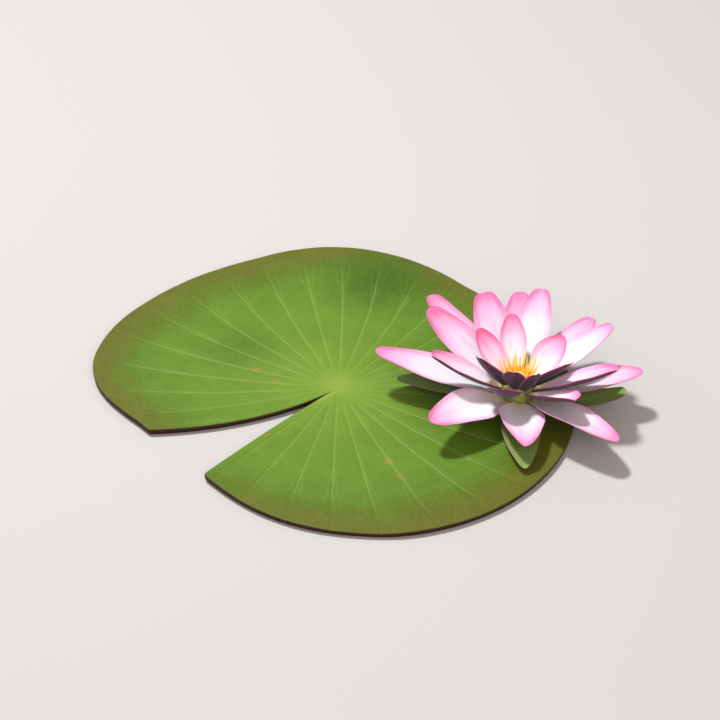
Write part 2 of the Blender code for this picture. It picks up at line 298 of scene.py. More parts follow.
def leaf_surface():
    """The leaf as polar rows from the vein centre to the rim. Columns follow the veins and crowd near
    them. The upper face dips at each vein and swells between two, the underside lies on z = 0 at its
    ribs and is hollowed between them, and a rounded wall joins both round the rim and the notch."""
    ring = NOTCH_END + (1 - NOTCH_END) * np.linspace(0, 1, LEAF_ROWS) ** 0.92
    places = leaf_directions(ring)
    sectors = VEIN_COUNT + 1
    share = (1 - np.cos(np.pi * np.arange(LEAF_SECTOR) / LEAF_SECTOR)) / 2
    column = np.append((np.arange(sectors)[:, None] + share[None, :]).ravel(), sectors)
    sector = np.minimum(column.astype(int), sectors - 1)
    part = column - sector
    degrees = places[:, sector] * (1 - part) + places[:, sector + 1] * part
    turn = np.radians(degrees)
    radius = ring[:, None] * (smooth_curve(degrees[-1], LEAF_RIM) - LEAF_EDGE)
    radius[0] = radius[0, 0]

    span = np.radians(places[:, sector + 1] - places[:, sector]) * radius
    near = np.where(sector == 0, 1 - part, np.where(sector == sectors - 1, part, np.minimum(part, 1 - part)))
    shown = (smooth_step(0.08, 0.25, ring) * (1 - 0.5 * smooth_step(0.85, 1, ring)))[:, None]
    vein = np.exp(-((near * span / VEIN_WIDTH) ** 2))
    swell = np.sin(np.pi * part) ** 2
    upper = (
        LEAF_THICK + LEAF_WAVE * ring[:, None] ** 2 * np.cos(2 * turn - math.radians(40))
        + shown * (BLADE_SWELL * swell - VEIN_DEPTH * vein)
        + ring[:, None] ** 3 * (0.16 * np.sin(5 * turn + 0.6) + 0.1 * np.sin(11 * turn + 2))
    )
    hollow = smooth_step(0.1, 0.25, ring) * (1 - smooth_step(0.9, 0.99, ring))
    lower = UNDERSIDE_HOLLOW * swell * hollow[:, None]

    count = len(column) - 1
    flat = np.stack([radius * np.cos(turn), radius * np.sin(turn)], -1)
    along_across = np.stack([column + 0 * radius, ring[:, None] + 0 * column], -1)

    def sheet(height, first):
        """Points, uv and rows of point numbers of one face, its first row closed round the centre."""
        grid = np.concatenate([flat, height[..., None]], -1)
        pole = [[0, 0, height[0].mean()]]
        points = np.concatenate([pole, grid[0, :-1], grid[1:].reshape(-1, 3)])
        uv = np.concatenate([[[0, 0]], along_across[0, :-1], along_across[1:].reshape(-1, 2)])
        rows = first + 1 + count + (np.arange(LEAF_ROWS)[:, None] - 1) * (count + 1) + np.arange(count + 1)
        rows[0] = first + 1 + np.arange(count + 1) % count
        return points, uv, rows

    top, top_uv, top_rows = sheet(upper, 0)
    bottom, bottom_uv, bottom_rows = sheet(lower, len(top))
    quads = [np.stack([r[:-1, :-1], r[1:, :-1], r[1:, 1:], r[:-1, 1:]], -1) for r in (top_rows, bottom_rows)]
    faces = [
        fan_faces(0, top_rows[0, :-1]), quads[0].reshape(-1, 4),
        fan_faces(len(top), bottom_rows[0, :-1], True), quads[1][..., ::-1].reshape(-1, 4),
    ]

    edges = [np.concatenate([r[:-1, 0], r[-1], r[-2:0:-1, -1]]) for r in (top_rows, bottom_rows)]
    edge = top[edges[0]]
    ahead = np.roll(edge, -1, 0) - np.roll(edge, 1, 0)
    outward = np.stack([ahead[:, 1], -ahead[:, 0]], -1)
    outward /= np.linalg.norm(outward, axis=1)[:, None]
    outward *= wall_share(np.linalg.norm(edge[:, :2], axis=1))[:, None]
    side = [
        np.column_stack([edge[:, :2] + outward * out, edge[:, 2] * high]) for out, high, _ in LEAF_SIDE
    ]
    points = np.concatenate([top, bottom, *side])
    uv = np.concatenate([top_uv, bottom_uv] + [top_uv[edges[0]]] * len(side))
    rows = [edges[0]] + [
        len(top) + len(bottom) + i * len(edge) + np.arange(len(edge)) for i in range(len(side))
    ] + [edges[1]]
    for above, below in zip(rows, rows[1:]):
        faces.append(np.stack([above, below, np.roll(below, -1), np.roll(above, -1)], -1))
    marks = np.concatenate([
        np.ones(len(top)), np.zeros(len(bottom)),
        np.repeat([share for _, _, share in LEAF_SIDE], len(edge)),
    ])
    return points, faces, uv, {"upper_face": marks}


# ---------------------------------------------------------------- petals and sepals
PETAL_ROWS = 66
PETAL_COLUMNS = 39
# A blade is this share of its whorl's thickness, thinner by these shares at the margins and the tip.
PETAL_FILL = 0.9
MARGIN_THINNER = 0.45
TIP_THINNER = 0.35
# What each whorl's blades have beside their main form: number of faint ribs on each side, their
# height, depth of the groove along the middle, and how far the margins ripple, in mm.
BLADES = {
    "sepal": dict(ribs=4, rib=0.06, groove=0.12, ripple=0.12),
    "outer_petal": dict(ribs=6, rib=0.06, groove=0.2, ripple=0.22),
    "middle_petal": dict(ribs=5, rib=0.055, groove=0.18, ripple=0.18),
    "inner_petal": dict(ribs=4, rib=0.04, groove=0.1, ripple=0.08),
}


def petal_surface(tip, whorl, blade, seed):
    """A petal round an arc that is its midrib. Each cross-section is a closed loop, cupped about the
    midrib by an angle that changes from base to tip: the upper side, then the lower side back, which
    meet in thin rounded margins. The width grows as a sine and then falls off to a blunt tip. Ribs
    are cosines across the blade, and the margins ripple as sines along it."""
    chance = np.random.default_rng(seed)
    direction = math.radians(tip[0])
    start_r, start_z = whorl["start"]
    s = np.linspace(0, 1, PETAL_ROWS + 1)[:-1, None]
    u = 0.25 * s + 0.375 * (1 - np.cos(np.pi * s))
    w = np.linspace(-1, 1, PETAL_COLUMNS)
    w = 0.5 * w + 0.5 * np.sin(np.pi / 2 * w)
    v = np.concatenate([w, w[-2:0:-1]])[None, :]
    upper = np.concatenate([np.ones(PETAL_COLUMNS), -np.ones(PETAL_COLUMNS - 2)])[None, :]
    upper[0, [0, PETAL_COLUMNS - 1]] = 0

    bend = math.radians(whorl["bend"])
    slope_0 = math.atan2(tip[2] - start_z, tip[1] - start_r) - bend / 2
    length = math.hypot(tip[2] - start_z, tip[1] - start_r) * (bend / 2) / math.sin(bend / 2)

    def midrib(u):
        slope = slope_0 + bend * u
        radius = start_r + length / bend * (np.sin(slope) - math.sin(slope_0))
        height = start_z + length / bend * (math.cos(slope_0) - np.cos(slope))
        return slope, radius, height

    widest, base, blunt = whorl["width"] / 2, whorl["base"] / 2, whorl["tip"] / 2
    grow = base + (widest - base) * np.sin(np.clip(u / whorl["at"], 0, 1) * np.pi / 2) ** 1.1
    past = np.clip((u - whorl["at"]) / (1 - whorl["at"]), 0, 1)
    shrink = (blunt + (widest - blunt) * (1 - past ** whorl["taper"])) * np.sqrt(1 - past**20)
    half = np.where(u < whorl["at"], grow, shrink)
    end = np.sqrt(1 - (1 - np.clip(u / 0.02, 0.15, 1)) ** 2)
    half = half * (0.7 + 0.3 * end)

    cup = np.radians(whorl["cup"][0] + (whorl["cup"][1] - whorl["cup"][0]) * u) / 2
    roll = math.radians(whorl["roll"])
    turn = cup * v + roll
    side = half * (np.sin(turn) - math.sin(roll)) / cup
    up = half * (math.cos(roll) - np.cos(turn)) / cup

    whole = PETAL_FILL * whorl["thick"] * (1 - MARGIN_THINNER * v**2) * (1 - TIP_THINNER * u**3)
    thin = np.sqrt(1 - np.abs(v) ** 14) * end * np.sqrt(1 - past**20)
    body = smooth_step(0.02, 0.2, u) * (1 - smooth_step(0.85, 1, u))
    inward = 1 - smooth_step(0.75, 1, np.abs(v))
    ribs = blade["rib"] * body * inward * np.cos(2 * np.pi * blade["ribs"] * np.abs(v))
    folded = smooth_step(0, 0.1, u) * (1 - smooth_step(0.5, 0.9, u))
    groove = blade["groove"] * np.exp(-((v / 0.09) ** 2)) * folded
    waves = chance.uniform(1.6, 2.6, 2)
    phases = chance.uniform(0, 2 * np.pi, 2)
    first, second = (np.sin(2 * np.pi * many * u + phase) for many, phase in zip(waves, phases))
    loose = smooth_step(0.4, 0.7, u) * (1 - smooth_step(0.93, 1, u))
    ripple = blade["ripple"] * np.where(v < 0, first, second) * np.abs(v) ** 3 * loose
    depth = 0.5 * whole * (1 - upper * thin) - ribs + groove - ripple

    slope, mid_r, mid_z = midrib(u)
    across = side + depth * np.sin(turn)
    rise = up - depth * np.cos(turn)
    radius = mid_r - np.sin(slope) * rise
    height = mid_z + np.cos(slope) * rise
    x = FLOWER_X + radius * math.cos(direction) - across * math.sin(direction)
    y = FLOWER_Y + radius * math.sin(direction) + across * math.cos(direction)
    loops = np.stack([x, y, height], -1)

    _, tip_r, tip_z = midrib(1.0)
    sunk = 0.5 * PETAL_FILL * whorl["thick"] * (1 - TIP_THINNER)
    tip_r += math.sin(slope_0 + bend) * sunk
    tip_z -= math.cos(slope_0 + bend) * sunk
    poles = [
        loops[0].mean(0),
        [FLOWER_X + tip_r * math.cos(direction), FLOWER_Y + tip_r * math.sin(direction), tip_z],
    ]
    points = np.concatenate([loops.reshape(-1, 3), poles])
    around = loops.shape[1]
    last = (PETAL_ROWS - 1) * around
    faces = [
        tube_faces(0, PETAL_ROWS, around),
        fan_faces(len(points) - 2, np.arange(around)),
        fan_faces(len(points) - 1, last + np.arange(around), True),
    ]
    uv = np.stack([u + 0 * v, 0.5 + 0.5 * v + 0 * u], -1).reshape(-1, 2)
    uv = np.concatenate([uv, [[0, 0.5], [1, 0.5]]])
    side_mark = np.append((0.5 + 0.5 * upper + 0 * u).ravel(), [0.5, 0.5])
    return points, faces, uv, {
        "upper_face": side_mark, "petal_seed": float(seed), "petal_blush": whorl.get("blush", 0.0),
    }


# ---------------------------------------------------------------- heart of the flower
def turned_surface(radius, height, around, centre):
    """A closed surface of revolution about an upright axis: one closed ring of points per row of
    radius and height, going up the outside, with a pole at each end."""
    a = np.linspace(0, 2 * np.pi, around, endpoint=False)[None, :]
    loops = np.stack([centre[0] + radius * np.cos(a), centre[1] + radius * np.sin(a), height + 0 * a], -1)
    poles = [[*centre, loops[0, :, 2].mean()], [*centre, loops[-1, :, 2].mean()]]
    points = np.concatenate([loops.reshape(-1, 3), poles])
    last = (len(loops) - 1) * around
    return points, [
        tube_faces(0, len(loops), around)[:, ::-1],
        fan_faces(len(points) - 2, np.arange(around), True),
        fan_faces(len(points) - 1, last + np.arange(around)),
    ]


def receptacle_surface():
    """The flower base: its profile turned round, with one faint rib below each petal's seat."""
    rows, around, rib = np.linspace(0, 1, 44), 96, 0.1
    places = np.linspace(0, 1, len(RECEPTACLE))
    radius = np.interp(rows, places, [r for r, _ in RECEPTACLE])[:, None]
    height = np.interp(rows, places, [z for _, z in RECEPTACLE])[:, None]
    a = np.linspace(0, 2 * np.pi, around, endpoint=False)[None, :]
    ribs = rib * np.cos(16 * a) * np.sin(np.pi * rows)[:, None]
    return turned_surface(radius - rib + ribs, height, around, (FLOWER_X, FLOWER_Y))


def stamen_surface(ring, seed):
    """A ring of stamens: a low band round the axis, and straps that rise from it. A strap is a tube
    of flattened ellipses along a leaning line, tapering to a point, with two pollen ridges on its
    inner face near the top."""
    chance = np.random.default_rng(seed)
    count = ring["count"]
    rise = math.radians(ring["rise"])
    k = np.linspace(0, 2 * np.pi, 12, endpoint=False)
    a = np.linspace(0, 2 * np.pi, 6 * count, endpoint=False)
    level = STAMEN_BAND * (0.5 + 0.5 * np.sin(k))[None, :] * (1 + 0.12 * np.cos(count * a)[:, None])
    out = ring["radius"] - STAMEN_THICK / 2 + STAMEN_THICK / 2 * np.cos(k)[None, :] + level * math.cos(rise)
    band = np.stack([
        FLOWER_X + out * np.cos(a)[:, None], FLOWER_Y + out * np.sin(a)[:, None],
        ring["height"] + level * math.sin(rise),
    ], -1)
    i, j = np.arange(len(a))[:, None], np.arange(len(k))[None, :]
    i_next, j_next = (i + 1) % len(a), (j + 1) % len(k)
    width = len(k)
    quads = np.stack([i * width + j, i_next * width + j, i_next * width + j_next, i * width + j_next], -1)
    blocks, faces = [band.reshape(-1, 3)], [quads.reshape(-1, 4)]
    uv = [np.stack([0 * level, 0.5 + 0 * level], -1).reshape(-1, 2)]

    rows, around = 16, 12
    share = np.linspace(0, 1, rows + 1)[:-1, None]
    phi = np.linspace(0, 2 * np.pi, around, endpoint=False)[None, :]
    first = len(blocks[0])
    for number in range(count):
        middle = 2 * np.pi * number / count + chance.uniform(-0.06, 0.06)
        lean = rise + chance.uniform(-0.06, 0.06) + 0.25 * share + chance.uniform(-0.15, 0.1) * share**2
        along = 0.8 + (ring["length"] * chance.uniform(0.9, 1.0) - 0.8) * share
        taper = (1 - 0.86 * share**2.2) * np.sqrt(1 - share**12)
        wide = ring["width"] / 2 * taper
        ridge = smooth_step(0.45, 0.6, share) * (1 - smooth_step(0.85, 0.97, share))
        deep = STAMEN_THICK / 2 * (1 - 0.65 * share) * np.sqrt(1 - share**12)
        swell = 1 + 0.55 * ridge * (np.sin(phi) < 0) * np.sin(2 * phi) ** 2
        outward = np.array([math.cos(middle), math.sin(middle), 0])
        sideways = np.array([-math.sin(middle), math.cos(middle), 0])
        line_r = ring["radius"] - STAMEN_THICK / 2 + along * np.cos(lean)
        line_z = ring["height"] + along * np.sin(lean)
        across = wide * np.cos(phi)
        back = deep * swell * np.sin(phi)
        radial = line_r + back * np.sin(lean)
        loops = (
            radial[..., None] * outward + across[..., None] * sideways
            + (line_z - back * np.cos(lean))[..., None] * [0, 0, 1] + [FLOWER_X, FLOWER_Y, 0]
        )
        end = 2 * loops[-1].mean(0) - loops[-2].mean(0)
        blocks += [loops.reshape(-1, 3), [loops[0].mean(0), end]]
        uv.append(np.stack([share + 0 * phi, 0.5 + 0.5 * np.cos(phi) + 0 * share], -1).reshape(-1, 2))
        uv.append([[0, 0.5], [1, 0.5]])
        size = rows * around
        faces += [
            tube_faces(first, rows, around),
            fan_faces(first + size, first + np.arange(around)),
            fan_faces(first + size + 1, first + size - around + np.arange(around), True),
        ]
        first += size + 2
    return np.concatenate(blocks), faces, np.concatenate(uv)


def stigma_surface():
    """The stigma disc: a turned dish with a small knob in its middle and a raised ray to each lobe."""
    low, high = STIGMA_HEIGHTS
    profile = np.array([
        (0.25, 0.0), (0.55, 0.0), (0.75, 0.08), (0.93, 0.28), (1.0, 0.52), (0.99, 0.75), (0.93, 0.92),
        (0.84, 1.0), (0.74, 0.97), (0.6, 0.84), (0.45, 0.74), (0.3, 0.7), (0.2, 0.76), (0.13, 0.88),
        (0.06, 0.93),
    ])
    around = 112
    a = np.linspace(0, 2 * np.pi, around, endpoint=False)[None, :]
    rays = np.cos(14 * a) * smooth_step(0.15, 0.6, profile[:, :1])
    radius = STIGMA_RADIUS * profile[:, :1] * (1 + 0.035 * rays)
    height = low + (high - low) * (profile[:, 1:] + 0.05 * rays * (profile[:, 1:] > 0.5))
    return turned_surface(radius, height, around, (FLOWER_X, FLOWER_Y))


# ---------------------------------------------------------------- finishes
# Leaf blade: living leaf under a thin natural wax. The wax gives broad, weak highlights; the pale
# veins, the yellow-green middle and the olive rim give the colour its slow changes.
LEAF_STEPS = [
    (0.02, "#86a139"), (0.06, "#7b9831"), (0.12, "#71912d"), (0.24, "#6c8d2b"), (0.38, "#658725"),
    (0.52, "#628623"), (0.67, "#5e8320"), (0.78, "#5b7e1f"), (0.85, "#59721a"), (0.9, "#5c6c1a"),
    (0.95, "#60681d"), (1.0, "#62641d"),
]
# Brown blemishes: direction in degrees, distance from the vein centre and reach, in mm.
LEAF_BLEMISHES = [(292.4, 57.5, 3.4), (292.4, 69.0, 3.0), (519, 40, 3.2), (529, 29, 2.6), (229.5, 46, 2.2)]


def leaf_finish():
    made, tree, shader = start_material("lily_leaf_natural_wax", ior=1.44, specular_ior_level=0.2)
    own = add(tree, "UVMap", uv_map="along_across")
    column = add(tree, "SeparateXYZ", (own,), out=0)
    ring = add(tree, "SeparateXYZ", (own,), out=1)
    place = add(tree, "TexCoord", out="Object")
    # Two veins are 22 mm apart at the rim, so near * reach is the distance to the next vein in mm.
    near = add(tree, "Math", (column, 0.5), operation="PINGPONG")
    reach = add(tree, "Math", (ring, 22.0), operation="MULTIPLY")
    main = add(tree, "Math", (near, reach), operation="MULTIPLY")
    main = add(tree, "MapRange", (main, 0.15, 0.8, 1.0, 0.0), interpolation_type="SMOOTHSTEP")
    along = add(tree, "ValToRGB", (ring,), [(0.06, 0.0), (0.2, 0.8), (0.7, 1.0), (0.93, 0.0)])
    main = add(tree, "Math", (main, along), operation="MULTIPLY")
    # Each vein forks beyond half-way, and the two branches draw apart towards the rim.
    fork = add(tree, "MapRange", (ring, 0.45, 1.1, 0.0, 0.3), interpolation_type="SMOOTHSTEP")
    side = add(tree, "Math", (near, fork), operation="SUBTRACT")
    side = add(tree, "Math", (side,), operation="ABSOLUTE")
    side = add(tree, "Math", (side, reach), operation="MULTIPLY")
    side = add(tree, "MapRange", (side, 0.1, 0.6, 0.35, 0.0), interpolation_type="SMOOTHSTEP")
    along = add(tree, "ValToRGB", (ring,), [(0.5, 0.0), (0.66, 1.0), (0.8, 0.8), (0.93, 0.0)])
    side = add(tree, "Math", (side, along), operation="MULTIPLY")
    veins = add(tree, "Math", (main, side), operation="MAXIMUM")
    inside = add(tree, "Math", (column, 15.0, 14.4), operation="COMPARE")
    veins = add(tree, "Math", (veins, inside), operation="MULTIPLY")

    # Patches about 30 mm across, mottling about 9 mm across, and a net of cells about 3 mm across.
    patches = add(tree, "TexNoise", {"Vector": place, "Scale": 33.0, "Detail": 3.0})
    mottle = add(tree, "TexNoise", {"Vector": place, "Scale": 110.0, "Detail": 5.0})
    cells = add(tree, "TexVoronoi", {"Vector": place, "Scale": 330.0}, feature="DISTANCE_TO_EDGE")
    # The colour goes with the distance from the middle; the notch's right side stays green longer.
    age = add(tree, "MapRange", (column, 0.3, 3.5, -0.12, 0.0), interpolation_type="SMOOTHSTEP")
    age = add(tree, "Math", (ring, age), operation="ADD")
    shift = add(tree, "MapRange", (patches, 0.25, 0.75, -0.05, 0.05))
    age = add(tree, "Math", (age, shift), operation="ADD")
    blade = add(tree, "ValToRGB", (age,), LEAF_STEPS)

    def spot(direction, radius, reach_mm):
        """A round spot on the upper face, 1 in its middle and 0 beyond its reach."""
        turn = math.radians(direction)
        middle = (radius * math.cos(turn) * MM, radius * math.sin(turn) * MM, LEAF_THICK * MM)
        away = add(tree, "VectorMath", (place, middle), out="Value", operation="DISTANCE")
        return add(tree, "MapRange", (away, 0.0, reach_mm * MM, 1.0, 0.0), interpolation_type="SMOOTHSTEP")

    dark = add(tree, "Math", (spot(503, 55, 24), 0.5), operation="MULTIPLY")
    dark = add(tree, "Math", (spot(437, 92, 42), dark), operation="MAXIMUM")
    blade = add(tree, "Mix", {0: dark, 6: blade, 7: "#416210"}, out=2, data_type="RGBA")
    net = add(tree, "MapRange", (cells, 0.0, 0.12, 0.1, 0.0), interpolation_type="SMOOTHSTEP")
    blade = add(tree, "Mix", {0: net, 6: blade, 7: "#7f9f48"}, out=2, data_type="RGBA")
    shade = add(tree, "MapRange", (mottle, 0.3, 0.7, 0.89, 1.01))
    blade = add(tree, "HueSaturation", {"Value": shade, "Color": blade})
    blemish = spot(*LEAF_BLEMISHES[0])
    for one in LEAF_BLEMISHES[1:]:
        blemish = add(tree, "Math", (blemish, spot(*one)), operation="MAXIMUM")
    patchy = add(tree, "MapRange", (mottle, 0.3, 0.6, 0.15, 0.65))
    blemish = add(tree, "Math", (blemish, patchy), operation="MULTIPLY")
    blade = add(tree, "Mix", {0: blemish, 6: blade, 7: "#a8763c"}, out=2, data_type="RGBA")
    pale = add(tree, "Math", (veins, 0.26), operation="MULTIPLY")
    blade = add(tree, "Mix", {0: pale, 6: blade, 7: "#98b55c"}, out=2, data_type="RGBA")

    # The underside and the rim's side are dull maroon. Paler ribs follow the veins and fade by the rim.
    below = add(tree, "Mix", {0: mottle, 6: "#2c1416", 7: "#3b1f1f"}, out=2, data_type="RGBA")
    rib = add(tree, "MapRange", (near, 0.0, 0.12, 0.5, 0.0), interpolation_type="SMOOTHSTEP")
    rib = add(tree, "Math", (rib, inside), operation="MULTIPLY")
    fade = add(tree, "MapRange", (ring, 0.7, 0.92, 1.0, 0.0), interpolation_type="SMOOTHSTEP")
    rib = add(tree, "Math", (rib, fade), operation="MULTIPLY")
    below = add(tree, "Mix", {0: rib, 6: below, 7: "#7a6a45"}, out=2, data_type="RGBA")
    upper = add(tree, "Attribute", attribute_name="upper_face", out="Fac")
    base = add(tree, "Mix", {0: upper, 6: below, 7: blade}, out=2, data_type="RGBA")
    tree.links.new(base, shader.inputs["Base Color"])
    tree.links.new(add(tree, "MapRange", (mottle, 0.3, 0.7, 0.5, 0.6)), shader.inputs["Roughness"])
    relief = add(tree, "Math", (cells, 1.2), operation="MULTIPLY")
    relief = add(tree, "Math", (relief, veins), operation="SUBTRACT")
    bump = add(tree, "Bump", {"Strength": 0.3, "Distance": 0.0002, "Height": relief})
    tree.links.new(bump, shader.inputs["Normal"])
    return made


# Petals: thin living tissue with no wax, so a soft satin surface. Fine parallel veins run from base
# to tip. The inner side goes from white to pink at the tip and margins. The outer side is dusky plum,
# painted much darker than its own colour as shade on the unlit undersides, nearly black in the inner petals.
PETAL_STEPS = [(0.0, "#fffbfd"), (0.25, "#ffe6f4"), (0.5, "#ffc6e6"), (0.78, "#fea2ce"), (1.0, "#f27cb2")]
PETAL_ALONG = [(0.0, 0.0), (0.35, 0.05), (0.6, 0.22), (0.85, 0.58), (1.0, 0.98)]


def petal_finish(name, deeper, shaded_reverse_base, shaded_reverse_tip):
    made, tree, shader = start_material(name, ior=1.4, sheen_weight=0.1, sheen_roughness=0.4,
                                        subsurface_weight=0.5,
                                        subsurface_radius=(1.0, 0.35, 0.3), subsurface_scale=0.002)
    own = add(tree, "UVMap", uv_map="along_across")
    u = add(tree, "SeparateXYZ", (own,), out=0)
    v = add(tree, "SeparateXYZ", (own,), out=1)
    v = add(tree, "Math", (v, 2.0, -1.0), operation="MULTIPLY_ADD")
    v = add(tree, "Math", (v,), operation="ABSOLUTE")
    seed = add(tree, "Attribute", attribute_name="petal_seed", out="Fac")
    # A petal is about 20 mm wide and 50 mm long: streaks 0.5 mm wide and 20 mm long, finer ones 0.2 mm.
    lines = add(tree, "Mapping", {"Vector": own, "Scale": (2.5, 40.0, 1.0)})
    streaks = add(tree, "TexNoise", {"Vector": lines, "W": seed, "Scale": 1.0, "Detail": 3.0},
                  noise_dimensions="4D")
    lines = add(tree, "Mapping", {"Vector": own, "Scale": (3.0, 110.0, 1.0)})
    fine = add(tree, "TexNoise", {"Vector": lines, "W": seed, "Scale": 1.0, "Detail": 2.0},
               noise_dimensions="4D")
    clouds = add(tree, "TexNoise", {"Vector": own, "W": seed, "Scale": 3.0}, noise_dimensions="4D")

    pink = add(tree, "ValToRGB", (u,), PETAL_ALONG)
    margin = add(tree, "MapRange", (v, 0.45, 1.0, 0.0, 0.36), interpolation_type="SMOOTHSTEP")
    from_base = add(tree, "MapRange", (u, 0.05, 0.4), interpolation_type="SMOOTHSTEP")
    margin = add(tree, "Math", (margin, from_base), operation="MULTIPLY")
    pink = add(tree, "Math", (pink, margin), operation="ADD")
    streaky = add(tree, "MapRange", (streaks, 0.3, 0.7, deeper - 0.15, deeper + 0.15))
    pink = add(tree, "Math", (pink, streaky), operation="ADD")
    own_pink = add(tree, "Attribute", attribute_name="petal_blush", out="Fac")
    pink = add(tree, "Math", (pink, own_pink), operation="ADD")
    patchy = add(tree, "MapRange", (clouds, 0.3, 0.7, -0.07, 0.07))
    pink = add(tree, "Math", (pink, patchy), operation="ADD", use_clamp=True)
    inner = add(tree, "ValToRGB", (pink,), PETAL_STEPS)
    cream = add(tree, "MapRange", (u, 0.06, 0.24, 0.85, 0.0), interpolation_type="SMOOTHSTEP")
    inner = add(tree, "Mix", {0: cream, 6: inner, 7: "#fdebd0"}, out=2, data_type="RGBA")
    green = add(tree, "MapRange", (u, 0.0, 0.09, 0.8, 0.0), interpolation_type="SMOOTHSTEP")
    inner = add(tree, "Mix", {0: green, 6: inner, 7: "#c3c88a"}, out=2, data_type="RGBA")
    edge = add(tree, "MapRange", (v, 0.92, 1.0, 0.0, 0.3), interpolation_type="SMOOTHSTEP")
    inner = add(tree, "Mix", {0: edge, 6: inner, 7: "#df6fa8"}, out=2, data_type="RGBA")
    vary = add(tree, "MapRange", (fine, 0.3, 0.7, 0.96, 1.02))
    inner = add(tree, "HueSaturation", {"Value": vary, "Color": inner})

    # Painted shade: the reverse colours are darkened well below the outer side's own dusky plum, so the
    # undersides look unlit.
    outer = add(tree, "ValToRGB", (u,), [(0.1, shaded_reverse_base), (1.0, shaded_reverse_tip)])
    edge = add(tree, "MapRange", (v, 0.8, 1.0, 0.0, 0.5), interpolation_type="SMOOTHSTEP")
    outer = add(tree, "Mix", {0: edge, 6: outer, 7: "#b0608c"}, out=2, data_type="RGBA")
    vary = add(tree, "MapRange", (streaks, 0.3, 0.7, 0.85, 1.15))
    outer = add(tree, "HueSaturation", {"Value": vary, "Color": outer})
    upper = add(tree, "Attribute", attribute_name="upper_face", out="Fac")
    upper = add(tree, "MapRange", (upper, 0.1, 0.6), interpolation_type="SMOOTHSTEP")
    base = add(tree, "Mix", {0: upper, 6: outer, 7: inner}, out=2, data_type="RGBA")
    tree.links.new(base, shader.inputs["Base Color"])
    tree.links.new(add(tree, "MapRange", (streaks, 0.3, 0.7, 0.5, 0.62)), shader.inputs["Roughness"])
    relief = add(tree, "Math", (fine, 0.5, streaks), operation="MULTIPLY_ADD")
    bump = add(tree, "Bump", {"Strength": 0.25, "Distance": 0.0002, "Height": relief})
    tree.links.new(bump, shader.inputs["Normal"])
    return made


# Sepals: the thick green leaves that closed the bud. Firm skin, a little glossier than the petals,
# with parallel veins and thin brownish margins.
def sepal_finish():
    made, tree, shader = start_material("sepal_green_skin", ior=1.42)
    own = add(tree, "UVMap", uv_map="along_across")
    u = add(tree, "SeparateXYZ", (own,), out=0)
    v = add(tree, "SeparateXYZ", (own,), out=1)
    v = add(tree, "Math", (v, 2.0, -1.0), operation="MULTIPLY_ADD")
    v = add(tree, "Math", (v,), operation="ABSOLUTE")
    seed = add(tree, "Attribute", attribute_name="petal_seed", out="Fac")
    # A sepal is about 17 mm wide and 45 mm long: streaks about 0.7 mm wide and 20 mm long.
    lines = add(tree, "Mapping", {"Vector": own, "Scale": (2.0, 26.0, 1.0)})
    streaks = add(tree, "TexNoise", {"Vector": lines, "W": seed, "Scale": 1.0, "Detail": 4.0},
                  noise_dimensions="4D")
    inner = add(tree, "ValToRGB", (u,), [(0.0, "#b9c98a"), (0.2, "#97b362"), (0.6, "#7c9c4c"),
                                         (1.0, "#708f44")])
    pale = add(tree, "MapRange", (streaks, 0.3, 0.7, 0.0, 0.3))
    inner = add(tree, "Mix", {0: pale, 6: inner, 7: "#a8c478"}, out=2, data_type="RGBA")
    edge = add(tree, "MapRange", (v, 0.8, 1.0, 0.0, 0.8), interpolation_type="SMOOTHSTEP")
    inner = add(tree, "Mix", {0: edge, 6: inner, 7: "#a07868"}, out=2, data_type="RGBA")
    outer = add(tree, "Mix", {0: streaks, 6: "#3c5426", 7: "#536f35"}, out=2, data_type="RGBA")
    outer = add(tree, "Mix", {0: edge, 6: outer, 7: "#5a4238"}, out=2, data_type="RGBA")
    upper = add(tree, "Attribute", attribute_name="upper_face", out="Fac")
    base = add(tree, "Mix", {0: upper, 6: outer, 7: inner}, out=2, data_type="RGBA")
    tree.links.new(base, shader.inputs["Base Color"])
    tree.links.new(add(tree, "MapRange", (streaks, 0.3, 0.7, 0.42, 0.54)), shader.inputs["Roughness"])
    bump = add(tree, "Bump", {"Strength": 0.3, "Distance": 0.0002, "Height": streaks})
    tree.links.new(bump, shader.inputs["Normal"])
    return made


# Flower base: smooth, fleshy pale green tissue that turns amber under the stamens.
def receptacle_finish():
    made, tree, shader = start_material("flower_base_fleshy_tissue", ior=1.4, subsurface_weight=0.1,
                                        subsurface_scale=0.001)
    place = add(tree, "TexCoord", out="Object")
    height = add(tree, "SeparateXYZ", (place,), out=2)
    height = add(tree, "Math", (height, 50.0), operation="MULTIPLY")
    speckle = add(tree, "TexNoise", {"Vector": place, "Scale": 900.0, "Detail": 4.0})
    tissue = add(tree, "ValToRGB", (height,), [(0.25, "#7f9850"), (0.6, "#a9b86a"), (0.74, "#d6cf8c"),
                                               (0.8, "#f8b23c")])
    spots = add(tree, "MapRange", (speckle, 0.4, 0.7, 0.0, 0.3))
    tissue = add(tree, "Mix", {0: spots, 6: tissue, 7: "#55703a"}, out=2, data_type="RGBA")
    tree.links.new(tissue, shader.inputs["Base Color"])
    tree.links.new(add(tree, "MapRange", (speckle, 0.3, 0.7, 0.45, 0.6)), shader.inputs["Roughness"])
    bump = add(tree, "Bump", {"Strength": 0.3, "Distance": 0.0001, "Height": speckle})
    tree.links.new(bump, shader.inputs["Normal"])
    return made


